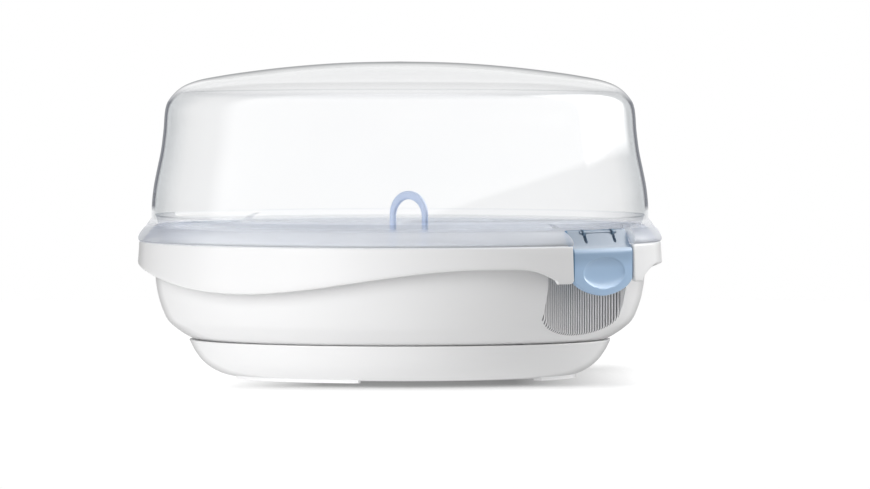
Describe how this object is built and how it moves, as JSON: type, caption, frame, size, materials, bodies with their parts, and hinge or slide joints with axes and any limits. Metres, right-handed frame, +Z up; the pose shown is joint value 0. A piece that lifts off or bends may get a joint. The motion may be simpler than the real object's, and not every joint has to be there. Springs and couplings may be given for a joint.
{
  "type": "microwave sterilizer",
  "caption": "Round microwave steam sterilizer: white bowl on a foot dish, bottle tray with a tall loop handle, clear domed lid, and two hinged side clips.",
  "frame": {"origin": "centre of the ground under the foot pads", "axes": "+Z up; the two clips are at +X and -X; the front is -Y"},
  "size_m": [0.272, 0.2762, 0.166],
  "materials": {
    "base_white": "glossy moulded white",
    "dish_white": "glossy moulded white",
    "tray_blue": "satin moulded pale blue",
    "lid_clear": "clear dome with a frosted flange",
    "clip_blue": "satin moulded blue"
  },
  "bodies": {
    "base": {"base_bowl": "base_white", "foot_dish": "dish_white"},
    "tray": {"bottle_tray": "tray_blue"},
    "lid": {"lid": "lid_clear"},
    "clip_right": {"clip_right": "clip_blue"},
    "clip_left": {"clip_left": "clip_blue"}
  },
  "joints": [
    {"name": "tray_lift", "type": "slide", "parent": "base", "child": "tray", "axis": [0, 0, 1], "range_m": [0, 0.12]},
    {"name": "lid_lift", "type": "slide", "parent": "tray", "child": "lid", "axis": [0, 0, 1], "range_m": [0, 0.15]},
    {"name": "clip_right_hinge", "type": "hinge", "parent": "lid", "child": "clip_right", "pos_m": [0.1303, 0, 0.0781], "axis": [0, -1, 0], "range_deg": [0, 100]},
    {"name": "clip_left_hinge", "type": "hinge", "parent": "lid", "child": "clip_left", "pos_m": [-0.1303, 0, 0.0781], "axis": [0, 1, 0], "range_deg": [0, 100]}
  ]
}
